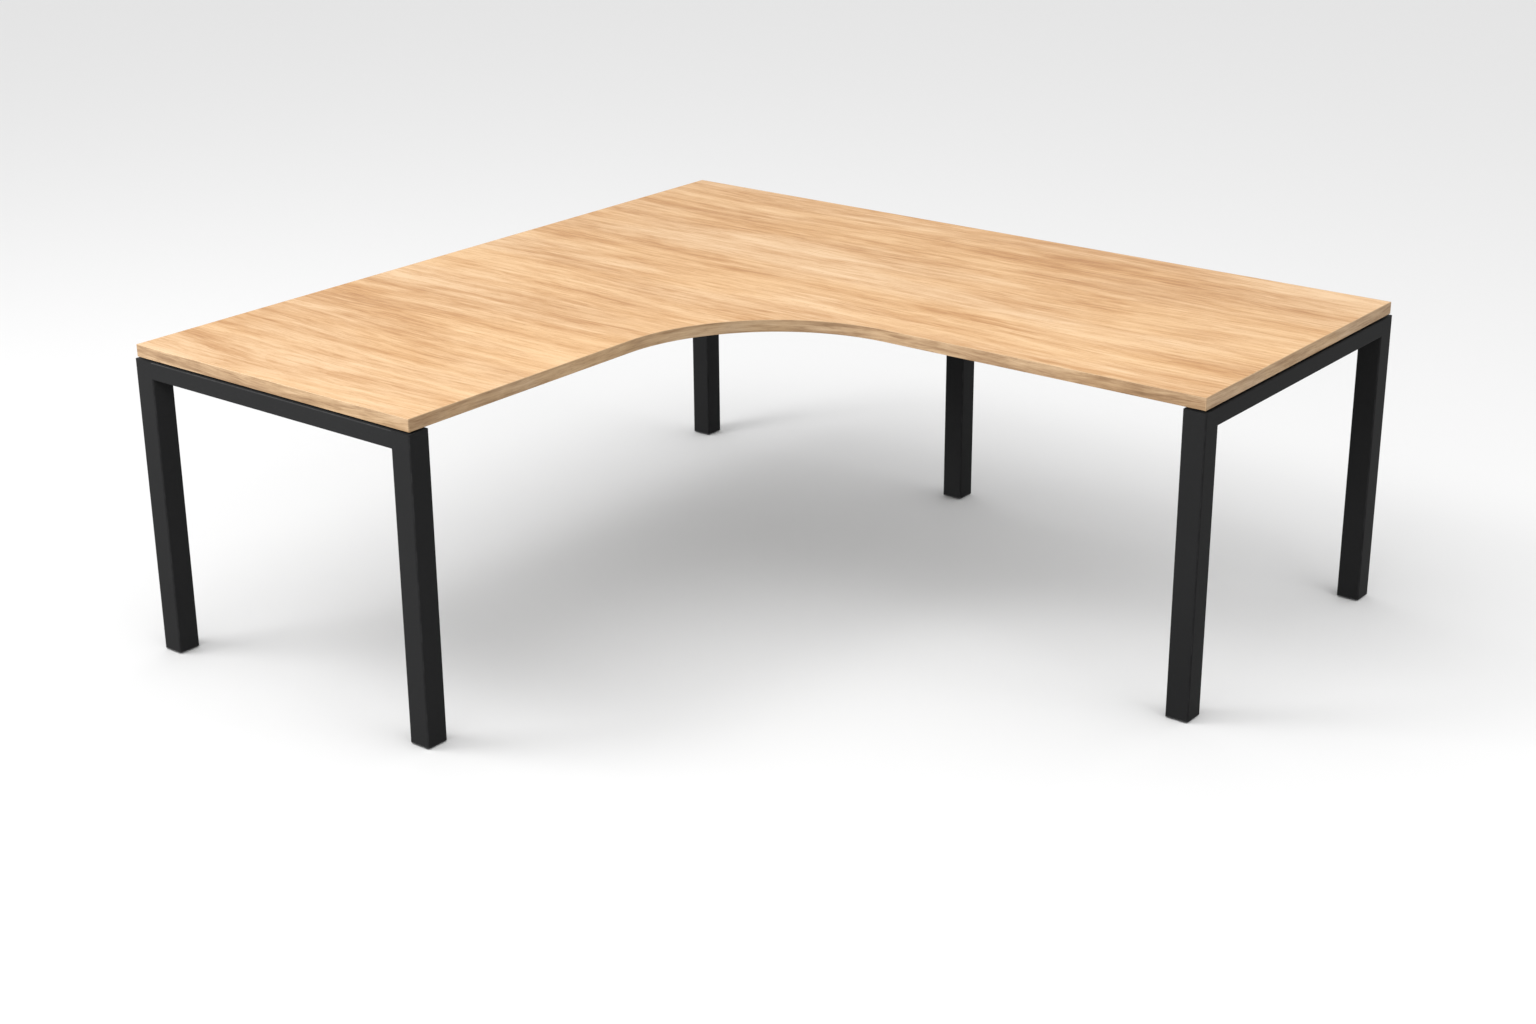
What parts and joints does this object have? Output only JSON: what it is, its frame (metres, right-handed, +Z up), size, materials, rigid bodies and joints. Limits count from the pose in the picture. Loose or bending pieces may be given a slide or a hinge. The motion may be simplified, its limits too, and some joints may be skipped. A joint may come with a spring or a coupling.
{
  "type": "corner desk",
  "caption": "Corner desk with an L-shaped oak-finish top, a concave inner corner, square-tube goal-post frames, under-top beams and levelling feet.",
  "frame": {"origin": "on the floor, at the centre of the desk's footprint", "axes": "+X to the right along the desk's longer back edge, +Y from the left wing's free end towards the back edge, +Z up"},
  "size_m": [2.058, 1.958, 0.73],
  "materials": {
    "oak_board": "satin",
    "oak_edge": "satin",
    "black_powder_coat": "satin",
    "black_nylon": "matte",
    "black_rubber": "matte",
    "zinc_plated_steel": "satin"
  },
  "bodies": {
    "desk": {"desktop_board": "oak_board", "left_edge_band": "oak_edge", "back_edge_band": "oak_edge", "left_end_edge_band": "oak_edge", "right_end_edge_band": "oak_edge", "inner_edge_band": "oak_edge", "left_frame_outer_leg": "black_powder_coat", "left_frame_inner_leg": "black_powder_coat", "corner_frame_left_leg": "black_powder_coat", "corner_frame_right_leg": "black_powder_coat", "right_frame_back_leg": "black_powder_coat", "right_frame_front_leg": "black_powder_coat", "leg_top_caps": "black_powder_coat", "left_frame_crossbar": "black_powder_coat", "corner_frame_crossbar": "black_powder_coat", "right_frame_crossbar": "black_powder_coat", "left_wing_outer_beam": "black_powder_coat", "left_wing_inner_beam": "black_powder_coat", "right_wing_back_beam": "black_powder_coat", "right_wing_front_beam": "black_powder_coat", "beam_end_plates": "black_powder_coat", "beam_bolts": "zinc_plated_steel", "beam_washers": "zinc_plated_steel", "rivet_nuts": "zinc_plated_steel", "desktop_spacers": "black_rubber", "desktop_screws": "zinc_plated_steel", "left_outer_leg_insert": "black_nylon", "left_inner_leg_insert": "black_nylon", "corner_left_leg_insert": "black_nylon", "corner_right_leg_insert": "black_nylon", "right_back_leg_insert": "black_nylon", "right_front_leg_insert": "black_nylon", "insert_bushes": "zinc_plated_steel"},
    "left_outer_foot": {"left_outer_foot_pad": "black_nylon", "left_outer_foot_stem": "zinc_plated_steel"},
    "left_inner_foot": {"left_inner_foot_pad": "black_nylon", "left_inner_foot_stem": "zinc_plated_steel"},
    "corner_left_foot": {"corner_left_foot_pad": "black_nylon", "corner_left_foot_stem": "zinc_plated_steel"},
    "corner_right_foot": {"corner_right_foot_pad": "black_nylon", "corner_right_foot_stem": "zinc_plated_steel"},
    "right_back_foot": {"right_back_foot_pad": "black_nylon", "right_back_foot_stem": "zinc_plated_steel"},
    "right_front_foot": {"right_front_foot_pad": "black_nylon", "right_front_foot_stem": "zinc_plated_steel"}
  },
  "joints": [
    {"name": "left_outer_foot_travel", "type": "slide", "parent": "desk", "child": "left_outer_foot", "axis": [0, 0, -1], "range_m": [0, 0.012]},
    {"name": "left_inner_foot_travel", "type": "slide", "parent": "desk", "child": "left_inner_foot", "axis": [0, 0, -1], "range_m": [0, 0.012]},
    {"name": "corner_left_foot_travel", "type": "slide", "parent": "desk", "child": "corner_left_foot", "axis": [0, 0, -1], "range_m": [0, 0.012]},
    {"name": "corner_right_foot_travel", "type": "slide", "parent": "desk", "child": "corner_right_foot", "axis": [0, 0, -1], "range_m": [0, 0.012]},
    {"name": "right_back_foot_travel", "type": "slide", "parent": "desk", "child": "right_back_foot", "axis": [0, 0, -1], "range_m": [0, 0.012]},
    {"name": "right_front_foot_travel", "type": "slide", "parent": "desk", "child": "right_front_foot", "axis": [0, 0, -1], "range_m": [0, 0.012]}
  ]
}
